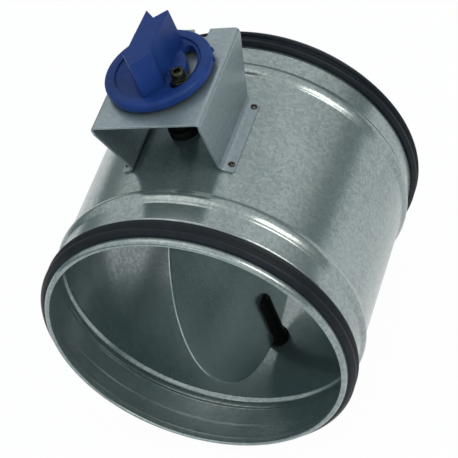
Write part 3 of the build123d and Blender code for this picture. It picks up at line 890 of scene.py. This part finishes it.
# ---------------------------------------------------------------- studio
camera_turn = math.radians(33.436)         # round the object, from straight in front towards +X
camera_height_angle = math.radians(41.401)
camera_roll = math.radians(-24.172)
camera_distance = 1.3592
camera_target = Vector((2.17 * mm, 90.11 * mm, 14.49 * mm))
camera_lens = 165.12
floor_radius = 1.3
white_share = 0.97                         # the rest of the floor's look is its paint, which shows the shadow


def make_camera():
    """The camera on its line of sight, rolled about it."""
    data = bpy.data.cameras.new("studio_camera")
    data.lens = camera_lens
    data.sensor_width = 36
    camera = bpy.data.objects.new("studio_camera", data)
    bpy.context.scene.collection.objects.link(camera)
    turn = Matrix.Rotation(camera_turn, 4, "Z") @ Matrix.Rotation(math.pi / 2 - camera_height_angle, 4, "X")
    back = turn.to_3x3() @ Vector((0, 0, 1))
    roll = Matrix.Rotation(camera_roll, 4, "Z")
    camera.matrix_world = Matrix.Translation(camera_target + back * camera_distance) @ turn @ roll
    bpy.context.scene.camera = camera


def add_softbox(name, direction, distance, size, power, tone=(1, 1, 1)):
    """A square softbox aimed at the middle of the tube."""
    data = bpy.data.lights.new(name, "AREA")
    data.shape = "SQUARE"
    data.size = size
    data.energy = power
    data.color = tone
    lamp = bpy.data.objects.new(name, data)
    bpy.context.scene.collection.objects.link(lamp)
    line = Vector(direction).normalized()
    lamp.location = camera_target + line * distance
    lamp.rotation_euler = line.to_track_quat("Z", "Y").to_euler()
    lamp.visible_camera = False


def sees_backdrop(tree):
    """1 for the rays that see the white backdrop: the camera's, mirrored ones and those through glass."""
    path = tree.nodes.new("ShaderNodeLightPath")
    seen = path.outputs["Is Camera Ray"]
    for kind in ("Is Glossy Ray", "Is Transmission Ray"):
        either = tree.nodes.new("ShaderNodeMath")
        either.operation = "MAXIMUM"
        tree.links.new(seen, either.inputs[0])
        tree.links.new(path.outputs[kind], either.inputs[1])
        seen = either.outputs[0]
    return seen


def make_floor():
    """A white floor, also in reflections, with the object's faint shadow on it."""
    bpy.ops.object.select_all(action="DESELECT")
    bpy.ops.mesh.primitive_circle_add(
        vertices=96, radius=floor_radius, fill_type="NGON", location=(0, shaft_y, floor_height - mm))
    floor = bpy.context.object
    floor.name = "studio_floor"
    bpy.ops.object.transform_apply(location=True, rotation=True, scale=True)
    material = bpy.data.materials.new("pale_floor")
    material.use_nodes = True
    nodes = material.node_tree.nodes
    nodes.clear()
    output = add_node(material, "ShaderNodeOutputMaterial")
    paint = add_node(material, "ShaderNodeBsdfDiffuse", Color=(0.8, 0.8, 0.8, 1))
    glow = add_node(material, "ShaderNodeEmission", Color=(1, 1, 1, 1), Strength=1.0)
    share = add_node(material, "ShaderNodeMath", operation="MULTIPLY")
    share.inputs[1].default_value = white_share
    mix = add_node(material, "ShaderNodeMixShader")
    link(material, sees_backdrop(material.node_tree), share.inputs[0])
    link(material, share.outputs[0], mix.inputs[0])
    link(material, paint.outputs[0], mix.inputs[1])
    link(material, glow.outputs[0], mix.inputs[2])
    link(material, mix.outputs[0], output.inputs["Surface"])
    floor.data.materials.append(material)


def make_world():
    """A white backdrop, also in reflections, with a dim belt low down round the room; soft cool fill."""
    world = bpy.data.worlds.new("studio_room")
    bpy.context.scene.world = world
    world.use_nodes = True
    nodes, links = world.node_tree.nodes, world.node_tree.links
    nodes.clear()
    output = nodes.new("ShaderNodeOutputWorld")
    path = nodes.new("ShaderNodeLightPath")
    coords = nodes.new("ShaderNodeTexCoord")
    split = nodes.new("ShaderNodeSeparateXYZ")
    ramp = nodes.new("ShaderNodeValToRGB")
    stops = ramp.color_ramp.elements
    stops[0].color = (0.17, 0.20, 0.20, 1)
    stops[1].color = (1, 1, 1, 1)
    for height, tone in ((0.12, (0.27, 0.27, 0.26)), (0.24, (0.76, 0.76, 0.74)), (0.45, (1.0, 1.0, 0.99))):
        stops.new(height).color = (*tone, 1)
    backdrop = nodes.new("ShaderNodeBackground")
    fill = nodes.new("ShaderNodeBackground")
    fill.inputs["Color"].default_value = (0.60, 0.95, 1.0, 1)
    fill.inputs["Strength"].default_value = 0.75
    white = nodes.new("ShaderNodeBackground")
    white.inputs["Color"].default_value = (1, 1, 1, 1)
    seen = nodes.new("ShaderNodeMixShader")
    camera = nodes.new("ShaderNodeMixShader")
    links.new(coords.outputs["Generated"], split.inputs["Vector"])
    links.new(split.outputs["Z"], ramp.inputs["Fac"])
    links.new(ramp.outputs["Color"], backdrop.inputs["Color"])
    links.new(sees_backdrop(world.node_tree), seen.inputs[0])
    links.new(fill.outputs[0], seen.inputs[1])
    links.new(backdrop.outputs[0], seen.inputs[2])
    links.new(path.outputs["Is Camera Ray"], camera.inputs[0])
    links.new(seen.outputs[0], camera.inputs[1])
    links.new(white.outputs[0], camera.inputs[2])
    links.new(camera.outputs[0], output.inputs["Surface"])


dress_frame_nodes()
make_tube()
make_weld_seam()
make_seals()
make_blade()
make_spindles()
make_bushes()
make_shelf()
make_rivets()
make_dial()
make_grip()
make_nibs()
make_lock_washers()
make_lock_screw()
make_camera()
make_floor()
make_world()
add_softbox("key_softbox", (0.79, -0.20, 0.56), 1.5, 0.75, 10.0, (1.0, 0.91, 0.84))
add_softbox("front_softbox", (0.10, -1.0, 0.30), 1.6, 1.2, 3.6, (0.84, 0.96, 1.0))
add_softbox("top_softbox", (-0.15, -0.10, 1.0), 1.7, 1.3, 4.6, (1.0, 0.91, 0.85))
bpy.context.scene.view_settings.view_transform = "Standard"
